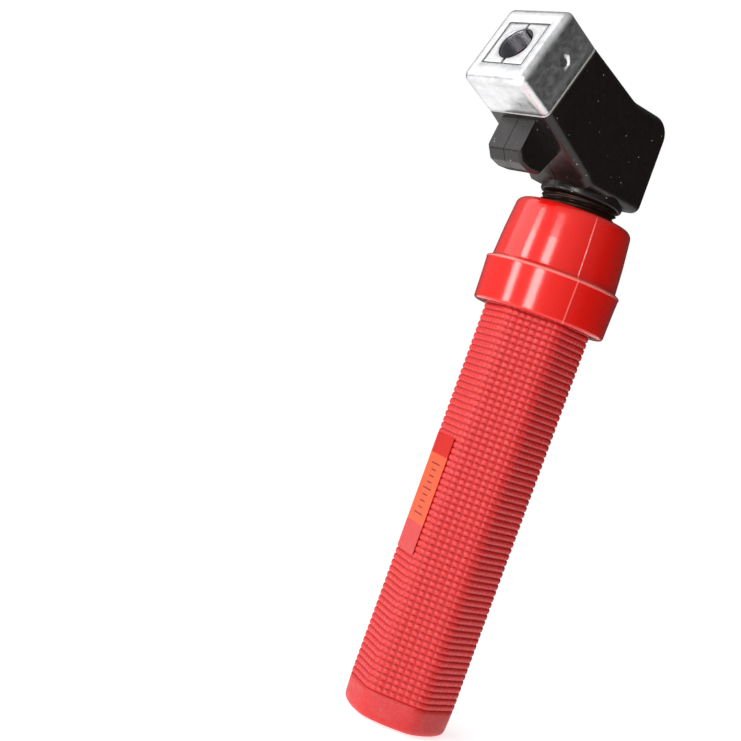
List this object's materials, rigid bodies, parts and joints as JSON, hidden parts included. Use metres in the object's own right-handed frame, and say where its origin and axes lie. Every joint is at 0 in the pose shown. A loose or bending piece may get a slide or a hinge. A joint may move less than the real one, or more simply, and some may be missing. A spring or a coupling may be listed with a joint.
{
  "type": "twist-lock welding electrode holder",
  "caption": "Welding electrode holder: hexagonal insulated grip with a moulded collar twists on a threaded neck to clamp an electrode in an angled square metal nose.",
  "frame": {"origin": "centre of the grip's rear end face, at the mouth of the cable entry", "axes": "+Z along the grip towards the head, -X the side the nose points to, Y across the head"},
  "size_m": [0.08, 0.0474, 0.2353],
  "materials": {
    "grip_rubber": "matte, ribbed and knurled",
    "collar_plastic": "glossy moulded insulator",
    "label_film": "printed film, smooth",
    "liner_fibre": "pressed fibre",
    "steel": "plain turned",
    "dark_steel": "black oxide",
    "brass": "machined",
    "washer_fibre": "hard fibre",
    "jaw_metal": "copper alloy, cross-grooved",
    "neck_metal": "tarnished, threaded",
    "nose_metal": "cast, satin",
    "mouth_metal": "machined",
    "gasket_fibre": "pale fibre",
    "shell_black": "gloss moulded insulator"
  },
  "bodies": {
    "head": {"head_body": "brass", "threaded_neck": "neck_metal", "key_pin": "steel", "return_spring": "dark_steel", "nose_cap": "nose_metal", "cap_screws": "steel", "mouth_half_right": "mouth_metal", "mouth_half_left": "mouth_metal", "nose_gasket": "gasket_fibre", "fixed_jaw": "jaw_metal", "fixed_jaw_screws": "steel", "shell_right": "shell_black", "shell_left": "shell_black", "shell_screws": "dark_steel", "shell_inserts": "brass", "guide_bush": "brass"},
    "rod": {"contact_rod": "brass", "cable_socket": "brass", "cable_grub_screws": "dark_steel", "socket_pin": "steel", "thrust_washers": "washer_fibre", "clamp_arm": "brass", "guide_post": "steel", "moving_jaw": "jaw_metal", "moving_jaw_screw": "steel", "rod_nut": "brass", "rod_washer": "steel"},
    "handle": {"grip": "grip_rubber", "drive_keys": "steel", "collar": "collar_plastic", "thread_bush": "brass", "insulating_liner": "liner_fibre", "rating_label": "label_film"}
  },
  "joints": [
    {"name": "rod_slide", "type": "slide", "parent": "head", "child": "rod", "axis": [0, 0, 1], "range_m": [0, 0.004], "deforming": ["return_spring"]},
    {"name": "handle_twist", "type": "hinge", "parent": "rod", "child": "handle", "pos_m": [0, 0, 0.15], "axis": [0, 0, 1], "range_deg": [0, 360]}
  ],
  "couplings": [
    {"joint": "handle_twist", "follows": "rod_slide", "rad_per_m": 1570.8}
  ]
}
